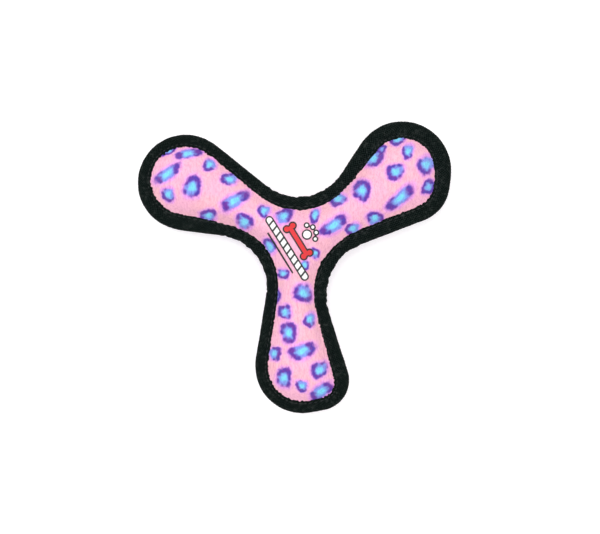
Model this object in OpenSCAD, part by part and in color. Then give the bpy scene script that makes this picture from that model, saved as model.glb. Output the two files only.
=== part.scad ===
// Soft three-armed boomerang: a stuffed dog toy with a bound edge and a squeaker in every lobe.
// Millimetres, +Z up. The hub centre is at X = Y = 0 and the toy rests on Z = 0.

/* [Overall] */
// Width over the two upper arms, from edge to edge
toy_width = 200; // [180:1:280]
// Thickness through the middle of a lobe, before it settles on the ground
lobe_thickness = 32; // [29:0.5:40]
// Thickness through the hub, before it settles on the ground
hub_thickness = 29; // [27:0.5:36]
// How far a neck dips below the hub, on each side
neck_dip = 1.5; // [0:0.25:3]
// How far the hub's underside settles flat
hub_settle = 0.5; // [0.4:0.1:1.5]

/* [Outline, for a toy 200 wide] */
// Hub centre to the middle of a lobe
arm_reach = 80; // [76:0.5:84]
// Radius of a lobe
lobe_radius = 31; // [25:0.5:33]
// Radius of the notch between two arms
notch_radius = 33; // [30:0.5:36]
// Hub centre to the edge of a notch
notch_reach = 28; // [26:0.5:30]

/* [Edge binding] */
// Width of the binding seen at the tip of a lobe
binding_tip = 9.5; // [8:0.25:12]
// Width of the binding seen in a notch
binding_notch = 8.5; // [7:0.25:10]
// Thickness of the woven tape
tape_thickness = 0.9; // [0.6:0.1:1.4]

/* [Cloth] */
// Thickness of the fleece over the stuffing
fleece_thickness = 2.4; // [1.8:0.1:3.2]
// Thickness of the fleece pressed flat under the binding
fleece_pressed = 0.9; // [0.6:0.1:1.2]
// Thickness of each canvas ply
canvas_thickness = 0.6; // [0.4:0.1:0.8]
// Thickness of the plastic coating between the two canvas plies
film_thickness = 0.2; // [0.15:0.05:0.3]
// Diameter of the thread
thread = 0.3; // [0.2:0.05:0.4]

/* [Squeaker] */
// Share of the lobe inside the binding that the bulb fills
bulb_share = 0.72; // [0.6:0.01:0.76]
// Share of the stuffed height that the bulb fills
bulb_height_share = 0.7; // [0.5:0.01:0.75]
// Wall of the moulded bulb
bulb_wall = 1; // [0.8:0.1:1.2]
// How far the bulb's nozzle stands out of its rim
nozzle_out = 3; // [2:0.5:5]
// Radius of the tube that holds the reed
voice_radius = 3.4; // [3:0.1:4.2]
// Length of the tube that holds the reed
voice_length = 10; // [9:0.5:12]
// Wall of the tube and of the nozzle round it
voice_wall = 0.8; // [0.6:0.1:1]
// Thickness of the reed
reed_thickness = 0.2; // [0.1:0.05:0.3]
// Width of the reed
reed_width = 3.2; // [2.4:0.2:3.6]
// Length of the reed that the wedge holds
reed_held = 1.6; // [1.2:0.1:2]
// Gap above and below the reed, so that it can lift and beat
reed_gap = 0.15; // [0.12:0.01:0.2]
// Thickness of the cloth of the pouch round the squeaker
pouch_cloth = 0.6; // [0.4:0.1:0.8]
// Room between the pouch and the squeaker
pouch_gap = 0.4; // [0.2:0.1:0.8]
// Width of the pouch's seam outside that room
pouch_seam = 2.4; // [2:0.1:2.6]
// Width of the tab that the lobe's seam holds
tab_width = 12; // [8:1:16]

/* [Hidden] */
$fn = 96;

// One cut pattern: the arms and notches differ a little, as on the sewn toy
k = toy_width / 200;
arm_turn = [34, 152, 272.5];
reach_trim = [1, 0, -0.5];
lobe_trim = [0.3, -0.4, -1.1];
notch_turn = [89, 209, 327.5];
notch_trim = [-0.5, -0.5, 2];
dent_trim = [0.5, -1.5, 1];

function aim(t) = [cos(t), sin(t)];
function mix(a, b, t) = a + (b - a) * t;

lobe = [for (i = [0:2]) k * (arm_reach + reach_trim[i]) * aim(arm_turn[i])];
lobe_r = [for (i = [0:2]) k * (lobe_radius + lobe_trim[i])];
notch_r = [for (i = [0:2]) k * (notch_radius + notch_trim[i])];
notch = [for (i = [0:2]) (k * (notch_reach + dent_trim[i]) + notch_r[i]) * aim(notch_turn[i])];

// Circles that the outline runs round, counter-clockwise: centre, radius, negative in a notch.
// The right and lower lobes each have a second, smaller corner beside the round one.
right_toe = [lobe[0] + k * [5, -8], k * 25.5];
lower_toe = [lobe[2] + k * [11, -9], k * 19];
belt = [
    [[notch[2], -notch_r[2]], right_toe, [lobe[0], lobe_r[0]], [notch[0], -notch_r[0]]],
    [[notch[0], -notch_r[0]], [lobe[1], lobe_r[1]], [notch[1], -notch_r[1]]],
    [[notch[1], -notch_r[1]], [lobe[2], lobe_r[2]], lower_toe, [notch[2], -notch_r[2]]]
];

function upward(a, b) = a + (((b - a) % 360) + 360) % 360;
function downward(a, b) = a - (((a - b) % 360) + 360) % 360;
function tangent(p, q) =
    let (d = q[0] - p[0]) atan2(d[1], d[0]) - acos((p[1] - q[1]) / norm(d));
function facing(c) = atan2(c[0][1], c[0][0]);
// Points along one circle, each with the way it faces
function sweep(c, a, b) =
    [for (i = [0:20]) let (t = mix(a, b, i / 20), p = c[0] + c[1] * aim(t)) [p[0], p[1], t]];
function walk(cs, t, i = 0) =
    i == len(cs) - 1 ? sweep(cs[i], t, downward(t, facing(cs[i])))
    : let (u = i == 0 ? downward(t, tangent(cs[0], cs[1])) : upward(t, tangent(cs[i], cs[i + 1])))
        concat(sweep(cs[i], t, u), walk(cs, u, i + 1));
function flat2(p) = [p[0], p[1]];
function miles(p, i = 0, s = 0, out = []) =
    i == len(p) ? out
    : let (d = i == 0 ? 0 : norm(flat2(p[i]) - flat2(p[i - 1])))
        miles(p, i + 1, s + d, concat(out, [s + d]));

// Stations: an arm's edge is cut into 2 * half equal steps from notch to notch
half = 14;
count = 6 * half;
function column(p, s, c) = [for (i = [0:len(p) - 1]) [s[i], p[i][c]]];
function arm_edge(i) =
    let (p = walk(belt[i], facing(belt[i][0])), s = miles(p), m = s[len(s) - 1])
    let (px = column(p, s, 0), py = column(p, s, 1), pt = column(p, s, 2))
    [for (j = [0:2 * half - 1]) let (q = m * j / (2 * half)) [lookup(q, px), lookup(q, py), lookup(q, pt)]];
edge = [for (i = [0:2]) each arm_edge(i)];

function arm_of(n) = floor(n / (2 * half));
function step_of(n) = let (l = n % (2 * half)) min(l, 2 * half - l);
function inward(n, d) = flat2(edge[n]) - d * aim(edge[n][2]);
// The binding is turned in a little unevenly: one trim for each notch, and three round each lobe
seen_trim = [0.5, 0.8, 1.4, 1.9, 0.3, -1.4, -1.5, 1.2, -0.5, -1, -1.7, 0.8];
function drift(n) =
    let (q = n / (half / 2), i = floor(q), f = q - i)
    mix(seen_trim[i % 12], seen_trim[(i + 1) % 12], f * f * (3 - 2 * f));
function seen(n) = mix(binding_notch, binding_tip, step_of(n) / half) + drift(n);

// The stuffed shape rises from the binding to a spine from the hub to the middle of each lobe
spine_steps = 8;
rings = 5;
rise_at = [0, 0, 0.2, 0.48, 0.78, 1];
function along(n) = min(1, step_of(n) / spine_steps);
function plan(n, r) =
    r == 0 ? inward(n, edge_gap)
    : r == 1 ? inward(n, seen(n))
    : mix(inward(n, seen(n)), along(n) * lobe[arm_of(n)], rise_at[r]);
function dome(u) = 1 - pow(1 - u, 2.2);
function spine_half(f) =
    mix(hub_thickness, lobe_thickness, f * f * (3 - 2 * f)) / 2 - neck_dip * pow(sin(180 * f), 2);

// Faces between the cloth layers, from the outside in: fleece, canvas, film, canvas, stuffing
seam_gap = 0.3;
flange = [
    seam_gap + 2 * canvas_thickness + film_thickness + fleece_pressed,
    seam_gap + 2 * canvas_thickness + film_thickness,
    seam_gap + canvas_thickness + film_thickness,
    seam_gap + canvas_thickness,
    seam_gap
];
under = [
    0,
    fleece_thickness,
    fleece_thickness + canvas_thickness,
    fleece_thickness + canvas_thickness + film_thickness,
    fleece_thickness + 2 * canvas_thickness + film_thickness
];
rest_depth = hub_thickness / 2 - hub_settle;
tape_in = flange[0] + thread;
tape_out = tape_in + tape_thickness;
edge_gap = tape_thickness + 0.6;

function level(i, f, u, back) =
    let (z = u == 0 ? flange[i] : mix(flange[i], spine_half(f) - under[i], dome(u)))
    back ? -min(z, rest_depth - under[i]) : z;
// All the points of one face between layers, ring by ring and then along the spines
function sheet(i, back, lift = 0) = concat(
    [for (r = [0:rings - 1]) for (n = [0:count - 1])
        let (p = plan(n, r)) [p[0], p[1], level(i, along(n), rise_at[r], back) + lift]],
    [[0, 0, level(i, 0, 1, back) + lift]],
    [for (a = [0:2]) for (j = [1:spine_steps])
        let (f = j / spine_steps, p = f * lobe[a]) [p[0], p[1], level(i, f, 1, back) + lift]]
);
sheet_size = rings * count + 1 + 3 * spine_steps;
function at(n, r) =
    let (j = min(step_of(n % count), spine_steps))
    r < rings ? r * count + n % count
    : rings * count + (j == 0 ? 0 : 1 + arm_of(n % count) * spine_steps + j - 1);
function quad(a, b, c, d) = concat(a == b || b == c || a == c ? [] : [[a, b, c]],
                                   a == c || c == d || a == d ? [] : [[a, c, d]]);
// The skin of a slab: two sheets, the rim between them, and cuts across the arms
function skin(n, r) = concat(
    quad(at(n, r), at(n, r + 1), at(n + 1, r + 1), at(n + 1, r)),
    [for (f = quad(at(n, r), at(n, r + 1), at(n + 1, r + 1), at(n + 1, r)))
        [f[2] + sheet_size, f[1] + sheet_size, f[0] + sheet_size]]
);
function rim(n, r) =
    quad(at(n, r), at(n + 1, r), at(n + 1, r) + sheet_size, at(n, r) + sheet_size);
function cut(n, r, way) =
    way > 0 ? quad(at(n, r), at(n, r) + sheet_size, at(n, r + 1) + sheet_size, at(n, r + 1))
    : quad(at(n, r + 1), at(n, r + 1) + sheet_size, at(n, r) + sheet_size, at(n, r));
module slab(top, base, spans, first) {
    polyhedron(
        points = concat(top, base),
        faces = concat(
            [for (s = spans) for (n = [s[0]:s[1] - 1]) for (r = [first:rings - 1]) each skin(n, r)],
            [for (s = spans) for (n = [s[0]:s[1] - 1]) each rim(n, first)],
            [for (s = spans) if (s[1] - s[0] < count) for (r = [first:rings - 1])
                each concat(cut(s[0], r, 1), cut(s[1], r, -1))]
        )
    );
}
whole = [[0, count]];
// Where the stuffing of a lobe meets the stuffing of the hub
neck_step = 4;
function lobe_span(i) = [[2 * half * i + neck_step, 2 * half * (i + 1) - neck_step]];
function hub_spans(m) = [for (i = [0:2]) [2 * half * (i + 1) - m, 2 * half * (i + 1) + m]];

module lifted() {
    translate([0, 0, rest_depth]) children();
}
module front_layer(i) {
    lifted() slab(sheet(i, false), sheet(i + 1, false), whole, 0);
}
module back_layer(i) {
    lifted() slab(sheet(i + 1, true), sheet(i, true), whole, 0);
}

module front_fleece_cover() {
    color([0.98, 0.75, 0.8]) front_layer(0);
}
module front_outer_canvas() {
    color([0.16, 0.16, 0.18]) front_layer(1);
}
module front_coating_film() {
    color([0.85, 0.87, 0.88]) front_layer(2);
}
module front_inner_canvas() {
    color([0.2, 0.2, 0.22]) front_layer(3);
}
module back_fleece_cover() {
    color([0.98, 0.75, 0.8]) back_layer(0);
}
module back_outer_canvas() {
    color([0.16, 0.16, 0.18]) back_layer(1);
}
module back_coating_film() {
    color([0.85, 0.87, 0.88]) back_layer(2);
}
module back_inner_canvas() {
    color([0.2, 0.2, 0.22]) back_layer(3);
}

// Edge binding: one woven tape folded over the raw edges of all the layers
function tape_section(b) = [
    [b, tape_out], [2, tape_out], [0.6, tape_out - 0.9], [0, tape_out - 2.2],
    [0, 2.2 - tape_out], [0.6, 0.9 - tape_out], [2, -tape_out], [b, -tape_out],
    [b, -tape_in], [tape_thickness + 0.3, -tape_in], [tape_thickness + 0.3, tape_in], [b, tape_in]
];
module edge_binding() {
    sides = 12;
    points = [for (n = [0:count - 1]) for (q = tape_section(seen(n)))
        let (p = inward(n, q[0])) [p[0], p[1], q[1]]];
    color([0.06, 0.07, 0.07]) lifted() polyhedron(
        points = points,
        faces = [for (n = [0:count - 1]) for (i = [0:sides - 1])
            let (m = (n + 1) % count, j = (i + 1) % sides)
            each quad(n * sides + i, m * sides + i, m * sides + j, n * sides + j)]
    );
}

// Two stitches to a station, laid flat on both sides of the cloth. insets: how far in at each station
stitch_width = 0.5;
module stitch_row(insets, z, stitch_height) {
    for (n = [0:count - 1]) {
        m = (n + 1) % count;
        p = inward(n, insets[n]);
        q = inward(m, insets[m]);
        for (h = [0.05, 0.55]) {
            a = mix(p, q, h);
            b = mix(p, q, h + 0.38);
            for (side = [z, -z - stitch_height])
                translate([a[0], a[1], side])
                    rotate(atan2(b[1] - a[1], b[0] - a[0]))
                        translate([0, -stitch_width / 2, 0])
                            cube([norm(b - a), stitch_width, stitch_height]);
        }
    }
}
assembly_inset = 3.6;
binding_stitch_inset = 1.8;
module assembly_stitches() {
    insets = [for (n = [0:count - 1]) assembly_inset];
    color([0.75, 0.75, 0.75]) lifted() stitch_row(insets, flange[0], 0.85 * thread);
}
module binding_stitches() {
    insets = [for (n = [0:count - 1]) seen(n) - binding_stitch_inset];
    color([0.03, 0.03, 0.03]) lifted() stitch_row(insets, tape_out, thread);
}

// Plain printed emblem on the hub: a stripe and a line, a bone and a paw
stripe_turn = -58;
stripe_at = [-6, -4.5];
stripe_length = 42;
stripe_width = 5.2;
line_at = [-10.4, -7.4];
line_length = 30;
line_width = 1;
bone_at = [1, 0.2];
bone_length = 19;
bone_width = 4.4;
knob_r = 2.6;
paw_at = [6.5, 4.2];
pad_r = 3.3;
toe_reach = 5.9;
toe_r = 1.9;
print_height = 0.35;
module emblem_shape() {
    translate(stripe_at) rotate(stripe_turn) {
        square([stripe_length, stripe_width], center = true);
        for (s = [-1, 1]) translate([s * stripe_length / 2, 0]) circle(stripe_width / 2);
    }
    translate(line_at) rotate(stripe_turn) square([line_length, line_width], center = true);
    translate(bone_at) rotate(stripe_turn) {
        square([bone_length, bone_width], center = true);
        for (s = [-1, 1]) for (t = [-1, 1])
            translate([s * 0.53 * bone_length, t * 0.5 * bone_width]) circle(knob_r);
    }
    translate(paw_at) rotate(stripe_turn + 90) {
        circle(pad_r);
        for (a = [-60, -20, 20, 60]) translate(toe_reach * aim(a)) circle(toe_r);
    }
}
module hub_emblem() {
    hub_steps = neck_step + 2;
    color([0.95, 0.95, 0.95]) intersection() {
        lifted() slab(sheet(0, false, print_height), sheet(0, false, fit), hub_spans(hub_steps), 1);
        translate([0, 0, rest_depth]) linear_extrude(height = lobe_thickness) emblem_shape();
    }
}

// Squeaker: a moulded bulb lying flat in the lobe, its voice tube pointing at the hub
clear_r = min(lobe_r) - binding_tip - 1;
bulb_r = bulb_share * clear_r;
bulb_h = bulb_height_share * (rest_depth - under[4]);
collar = 1.5;
fit = 0.02;
nozzle_r = voice_radius + voice_wall + 0.2;
nozzle_end = bulb_r + nozzle_out;
voice_end = nozzle_end + collar;
voice_start = voice_end - voice_length;
seat_r = voice_radius - voice_wall - fit;
reed_root = voice_end - 1.2;
reed_pinch = reed_root - reed_held;
reed_tip = voice_start + 1;
reed_room = reed_thickness / 2 + reed_gap;
module at_lobe(i) {
    translate([lobe[i][0], lobe[i][1], rest_depth]) rotate(arm_turn[i] + 180) children();
}
module lens(r, h) {
    big = (r * r + h * h) / (2 * h);
    rotate_extrude() intersection() {
        translate([0, h - big]) circle(big);
        translate([0, big - h]) circle(big);
        translate([0, -h]) square([r, 2 * h]);
    }
}
module along_x(r, from, to) {
    translate([from, 0, 0]) rotate([0, 90, 0]) cylinder(r = r, h = to - from);
}
module bulb(i) {
    rim_height = 1.2;
    color([0.93, 0.93, 0.9]) at_lobe(i) difference() {
        union() {
            lens(bulb_r, bulb_h);
            translate([0, 0, -rim_height / 2]) cylinder(r = bulb_r - 0.4, h = rim_height);
            along_x(nozzle_r, bulb_r - nozzle_r, nozzle_end);
        }
        lens(bulb_r - 1.6 * bulb_wall, bulb_h - bulb_wall);
        along_x(voice_radius + fit, voice_start - 1, nozzle_end + 1);
    }
}
module voice_tube(i) {
    color([0.95, 0.95, 0.95]) at_lobe(i) difference() {
        union() {
            along_x(voice_radius, voice_start, voice_end);
            along_x(nozzle_r, nozzle_end + 0.05, voice_end);
        }
        along_x(voice_radius - voice_wall, voice_start - 1, voice_end + 1);
    }
}
// Half-round seat with an air groove, and the half-round wedge that pins the reed on it
module reed_seat(i) {
    groove = reed_width / 2;
    side = 4 * voice_radius;
    color([0.9, 0.2, 0.2]) at_lobe(i) {
        difference() {
            along_x(seat_r, voice_start + 0.5, voice_end);
            translate([voice_start, -side / 2, -reed_room]) cube([voice_length + 1, side, side]);
            translate([voice_start, -groove / 2, -groove])
                cube([reed_pinch - 0.6 - voice_start, groove, 2 * groove]);
        }
        intersection() {
            along_x(seat_r, reed_pinch + 0.2, voice_end);
            translate([voice_start, -side / 2, reed_room]) cube([voice_length + 1, side, side]);
        }
    }
}
module reed(i) {
    color([0.85, 0.85, 0.55]) at_lobe(i)
        translate([reed_tip, -reed_width / 2, -reed_thickness / 2])
            cube([reed_root - reed_tip, reed_width, reed_thickness]);
}
// Pouch: two plies sewn together round the squeaker, with a tab caught in the seam at the lobe's tip
pouch_r = bulb_r + pouch_gap + pouch_seam;
module pouch_plan(grow = 0) {
    out = nozzle_r + pouch_gap + pouch_seam + grow;
    circle(pouch_r + grow);
    translate([0, -out]) square([voice_end + pouch_gap + pouch_seam + grow, 2 * out]);
}
module pouch_room(grow) {
    lens(bulb_r + grow, bulb_h + grow);
    along_x(nozzle_r + grow, 0, voice_end + grow);
}
module tab(i, grow) {
    reach = lobe_r[i] - edge_gap - 2;
    overlap = 3;
    translate([-reach, -tab_width / 2 - grow]) square([reach - pouch_r + overlap, tab_width + 2 * grow]);
}
module squeaker_pouch(i) {
    tab_height = seam_gap - 0.04;
    color([0.3, 0.3, 0.33]) at_lobe(i) for (side = [0, 1]) mirror([0, 0, side]) {
        difference() {
            union() {
                linear_extrude(height = pouch_cloth) pouch_plan();
                pouch_room(pouch_gap + pouch_cloth);
            }
            pouch_room(pouch_gap);
            translate([0, 0, -2 * bulb_h])
                linear_extrude(height = 2 * bulb_h) square(4 * pouch_r, center = true);
        }
        linear_extrude(height = tab_height) difference() {
            tab(i, 0);
            pouch_plan(fit);
        }
    }
}
module pouch_stitches() {
    stitch = 2.8;
    color([0.9, 0.9, 0.9]) for (i = [0:2]) at_lobe(i)
        for (t = [40:16:320]) for (side = [0, 1]) mirror([0, 0, side])
            rotate(t) translate([pouch_r - pouch_seam / 2, -stitch / 2, pouch_cloth])
                cube([0.4, stitch, 0.8 * thread]);
}
module pouch_hollow(i) {
    ease = 0.1;
    flat = pouch_cloth + thread;
    pouch_room(pouch_gap + pouch_cloth + ease);
    translate([0, 0, -flat]) linear_extrude(height = 2 * flat) pouch_plan(ease);
    translate([0, 0, -seam_gap - ease]) linear_extrude(height = 2 * (seam_gap + ease)) tab(i, ease);
}
module lobe_stuffing(i) {
    color([0.96, 0.96, 0.94]) difference() {
        lifted() slab(sheet(4, false), sheet(4, true), lobe_span(i), 1);
        at_lobe(i) pouch_hollow(i);
    }
}
module hub_stuffing() {
    color([0.96, 0.96, 0.94]) lifted() slab(sheet(4, false), sheet(4, true), hub_spans(neck_step), 1);
}

module right_squeaker_bulb() { bulb(0); }
module right_voice_tube() { voice_tube(0); }
module right_reed_seat() { reed_seat(0); }
module right_reed() { reed(0); }
module right_squeaker_pouch() { squeaker_pouch(0); }
module right_stuffing() { lobe_stuffing(0); }
module left_squeaker_bulb() { bulb(1); }
module left_voice_tube() { voice_tube(1); }
module left_reed_seat() { reed_seat(1); }
module left_reed() { reed(1); }
module left_squeaker_pouch() { squeaker_pouch(1); }
module left_stuffing() { lobe_stuffing(1); }
module lower_squeaker_bulb() { bulb(2); }
module lower_voice_tube() { voice_tube(2); }
module lower_reed_seat() { reed_seat(2); }
module lower_reed() { reed(2); }
module lower_squeaker_pouch() { squeaker_pouch(2); }
module lower_stuffing() { lobe_stuffing(2); }

front_fleece_cover();
front_outer_canvas();
front_coating_film();
front_inner_canvas();
back_fleece_cover();
back_outer_canvas();
back_coating_film();
back_inner_canvas();
edge_binding();
assembly_stitches();
binding_stitches();
hub_emblem();
hub_stuffing();
right_stuffing();
right_squeaker_pouch();
right_squeaker_bulb();
right_voice_tube();
right_reed_seat();
right_reed();
left_stuffing();
left_squeaker_pouch();
left_squeaker_bulb();
left_voice_tube();
left_reed_seat();
left_reed();
lower_stuffing();
lower_squeaker_pouch();
lower_squeaker_bulb();
lower_voice_tube();
lower_reed_seat();
lower_reed();
pouch_stitches();
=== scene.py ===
# %% [markdown]
# # A soft boomerang with three arms
#
# This toy is sewn, not moulded: printed plush over canvas, stuffed with fibre, with one woven tape
# folded round the whole edge. The CAD model gives every piece its place and size. Here the cloth
# gets its look: a soft pile, a ribbed tape that puckers in the notches, and a print on the hub.
# First the CAD pieces are loaded, and nothing about them is moved.

# %% Load the frame
import math

import bpy
import numpy as np
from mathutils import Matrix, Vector, noise
from mathutils.bvhtree import BVHTree
from mathutils.kdtree import KDTree


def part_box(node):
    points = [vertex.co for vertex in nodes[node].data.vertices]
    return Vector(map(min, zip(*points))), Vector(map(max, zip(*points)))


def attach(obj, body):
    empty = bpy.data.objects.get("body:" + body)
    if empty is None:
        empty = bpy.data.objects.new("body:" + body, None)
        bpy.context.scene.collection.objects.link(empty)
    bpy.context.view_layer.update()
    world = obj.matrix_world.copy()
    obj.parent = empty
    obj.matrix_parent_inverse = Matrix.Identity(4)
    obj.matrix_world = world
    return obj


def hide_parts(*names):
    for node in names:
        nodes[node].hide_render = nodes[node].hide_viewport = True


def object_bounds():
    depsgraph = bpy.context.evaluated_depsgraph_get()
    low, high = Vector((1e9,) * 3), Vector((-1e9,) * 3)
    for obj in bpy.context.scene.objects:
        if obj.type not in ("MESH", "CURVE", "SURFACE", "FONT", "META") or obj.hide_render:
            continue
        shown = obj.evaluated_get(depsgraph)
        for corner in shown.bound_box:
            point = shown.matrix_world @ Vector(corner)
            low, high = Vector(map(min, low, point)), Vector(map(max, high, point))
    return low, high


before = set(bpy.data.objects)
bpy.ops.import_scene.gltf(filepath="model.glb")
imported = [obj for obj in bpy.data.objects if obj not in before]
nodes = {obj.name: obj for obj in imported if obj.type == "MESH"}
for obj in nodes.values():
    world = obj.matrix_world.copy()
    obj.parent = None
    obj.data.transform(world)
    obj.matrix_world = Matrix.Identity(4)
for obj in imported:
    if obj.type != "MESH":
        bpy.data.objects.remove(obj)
cad_low, cad_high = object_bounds()
MM = 0.001
BODY = "toy"
TAPE_REACH = 9 * MM
print("loaded", len(nodes), "pieces, box", [round(x, 4) for x in cad_high - cad_low])


def deselect():
    """Nothing selected, so that the next operator works on the new piece alone."""
    if bpy.context.object and bpy.context.object.mode != "OBJECT":
        bpy.ops.object.mode_set(mode="OBJECT")
    bpy.ops.object.select_all(action="DESELECT")


def points_of(piece):
    """A mesh's vertices as one array."""
    co = np.zeros(len(piece.data.vertices) * 3)
    piece.data.vertices.foreach_get("co", co)
    return co.reshape(-1, 3)


def put_points(piece, co):
    """Moves a mesh's vertices to the rows of an array."""
    piece.data.vertices.foreach_set("co", np.asarray(co, float).ravel())
    piece.data.update()


def normals_of(piece):
    """A mesh's vertex normals as one array."""
    normals = np.zeros(len(piece.data.vertices) * 3)
    piece.data.vertices.foreach_get("normal", normals)
    return normals.reshape(-1, 3)


def paint(piece, name, values):
    """One value per vertex, which a material reads by its name."""
    piece.data.attributes.new(name, "FLOAT", "POINT").data.foreach_set("value", values)


def ripple(points, scale, seed):
    """Smooth noise at each point, from about -1 to 1."""
    offset = Vector((seed * 7.1, seed * 3.7, seed * 1.3))
    return np.array([noise.noise(Vector(p) * scale + offset) for p in points])


def smooth(x, low, high):
    """0 below low, 1 above high, smooth between."""
    t = np.clip((x - low) / (high - low), 0, 1)
    return t * t * (3 - 2 * t)


# %% [markdown]
# ## Reading the edge
#
# Every cloth piece follows the toy's edge, so the edge comes first. The tape in the CAD model has
# one ring of points along its fold. They are put in order, and a smooth closed curve through them
# gives the place, the outward direction and the tape's seen width at any distance along the edge.

# %% The edge as a curve
tape = np.unique(np.round(points_of(nodes["edge_binding"]), 6), axis=0)
tape_low, tape_high = tape[:, 2].min(), tape[:, 2].max()
MID = (tape_low + tape_high) / 2
TAPE_HALF = (tape_high - tape_low) / 2
fold_level = min(z for z in np.unique(np.round(tape[:, 2], 5)) if z > MID)
fold = tape[np.abs(tape[:, 2] - fold_level) < 1e-5][:, :2]
top = tape[np.abs(tape[:, 2] - tape_high) < 1e-5][:, :2]


def in_order(points):
    """The ring's points, each followed by its nearest neighbour, from the right notch round."""
    lower_right = np.where((points[:, 0] > 0) & (points[:, 1] < 0), 0, 1)
    here = int(np.argmin(np.linalg.norm(points, axis=1) + lower_right))
    left = set(range(len(points)))
    order = []
    while left:
        order.append(here)
        left.discard(here)
        if left:
            here = min(left, key=lambda i: np.linalg.norm(points[i] - points[order[-1]]))
    ring = points[order]
    turned = np.roll(ring, -1, axis=0)
    area = np.sum(ring[:, 0] * turned[:, 1] - ring[:, 1] * turned[:, 0])
    return ring if area > 0 else np.roll(ring[::-1], 1, axis=0)


def closed_curve(values, t):
    """A smooth closed curve (Catmull-Rom) through the values, at the steps t."""
    n = len(values)
    i = np.floor(t).astype(int)
    f = (t - i)[:, None]
    a, b, c, d = (values[(i + k) % n] for k in (-1, 0, 1, 2))
    second = 2 * a - 5 * b + 4 * c - d
    third = 3 * b - a - 3 * c + d
    return 0.5 * (2 * b + (c - a) * f + second * f**2 + third * f**3)


stations = in_order(fold)
FINE = 1400
steps = np.arange(FINE) * len(stations) / FINE
edge = closed_curve(stations, steps)
along = np.roll(edge, -1, axis=0) - np.roll(edge, 1, axis=0)
along /= np.linalg.norm(along, axis=1)[:, None]
outward = np.stack([along[:, 1], -along[:, 0]], axis=1)
EDGE_LENGTH = float(np.linalg.norm(np.roll(edge, -1, axis=0) - edge, axis=1).sum())


def seen_widths():
    """How far the tape reaches in at each station, read from the inner row of its top side."""
    rows = KDTree(len(top))
    for i, p in enumerate(top):
        rows.insert((p[0], p[1], 0), i)
    rows.balance()
    widths = []
    for i, p in enumerate(stations):
        out = outward[int(round(i * FINE / len(stations)))]
        aim = p - TAPE_REACH * out
        found = top[rows.find((aim[0], aim[1], 0))[1]]
        widths.append([np.dot(p - found, out)])
    return np.array(widths)


def eased(values, reach):
    """A closed row of values, each the soft average of those within reach steps."""
    span = np.arange(-2 * reach, 2 * reach + 1)
    weights = np.exp(-((span / reach) ** 2))
    return sum(w * np.roll(values, k, axis=0) for k, w in zip(span, weights)) / weights.sum()


LIP_EASE = 12
width = closed_curve(seen_widths(), steps)[:, :1]
lip = edge - outward * width
width = (width - np.sum((eased(lip, LIP_EASE) - lip) * outward, axis=1, keepdims=True))[:, 0]
bend = np.cross(along, np.roll(along, -3, axis=0) - np.roll(along, 3, axis=0))
bend = bend / (6 * EDGE_LENGTH / FINE)
edge_tree = KDTree(FINE)
for i, p in enumerate(edge):
    edge_tree.insert((p[0], p[1], 0), i)
edge_tree.balance()


def from_edge(xy):
    """For each point: the nearest place on the edge, and how far in from it."""
    near = np.array([edge_tree.find((p[0], p[1], 0))[1] for p in xy])
    inset = np.einsum("ij,ij->i", edge[near] - xy, outward[near])
    return near, inset


def on_edge(i, inset):
    """The point that far in from the edge's step i; whole steps or parts of one."""
    t = np.asarray(i, float)
    p = closed_curve(edge, t)
    n = closed_curve(outward, t)
    return p - n * np.asarray(inset)[:, None]


print("edge", round(EDGE_LENGTH, 4), "m; tape shows", width.min().round(4), "to", width.max().round(4))

# %% [markdown]
# ## Camera, floor and light
#
# The toy lies flat and is seen from straight above, from far enough that its sides don't show.
# A wide white floor with a faint glow of its own and large soft lights keep the shadows faint, so
# that the black tape still shows its ribs and the pale pile doesn't burn out.

# %% Camera, floor and light
LENS = 100
SENSOR = 36
FRAME_WIDTH = 0.3821
AIM = (0.0021, -0.0162)
deselect()
view_height = FRAME_WIDTH * LENS / SENSOR
bpy.ops.object.camera_add(location=(*AIM, MID + view_height), rotation=(0, 0, 0))
camera = bpy.context.object
camera.data.lens = LENS
camera.data.sensor_width = SENSOR
bpy.context.scene.camera = camera
bpy.context.scene.view_settings.view_transform = "Standard"

bpy.ops.mesh.primitive_plane_add(size=6, location=(0, 0, 0))
floor = bpy.context.object
floor.name = "floor"
floor_paint = bpy.data.materials.new("floor_paint")
floor_paint.use_nodes = True
floor_shader = floor_paint.node_tree.nodes["Principled BSDF"]
floor_shader.inputs["Base Color"].default_value = (0.93, 0.93, 0.93, 1)
floor_shader.inputs["Roughness"].default_value = 0.9
floor_shader.inputs["Emission Color"].default_value = (1, 1, 1, 1)
floor_shader.inputs["Emission Strength"].default_value = 0.3
floor.data.materials.append(floor_paint)

world = bpy.data.worlds.new("studio")
bpy.context.scene.world = world
world.use_nodes = True
world.node_tree.nodes["Background"].inputs["Color"].default_value = (1, 1, 1, 1)
world.node_tree.nodes["Background"].inputs["Strength"].default_value = 0.66


def soft_light(name, place, size, power):
    """A square area light aimed at the hub."""
    deselect()
    bpy.ops.object.light_add(type="AREA", location=place)
    light = bpy.context.object
    light.name = name
    light.data.size = size
    light.data.energy = power
    light.rotation_euler = (-Vector(place)).to_track_quat("-Z", "Y").to_euler()


soft_light("window", (-0.5, 0.7, 1.5), 1.4, 17)
soft_light("bounce", (0.7, -0.7, 1.5), 1.4, 11)
print("camera height", round(view_height, 3))

# %% [markdown]
# ## A kit for materials
#
# Each finish is a short chain of nodes. Two helpers keep them readable: one adds a node and sets
# its values, the other mixes two colours by a factor.

# %% Material helpers


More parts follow.
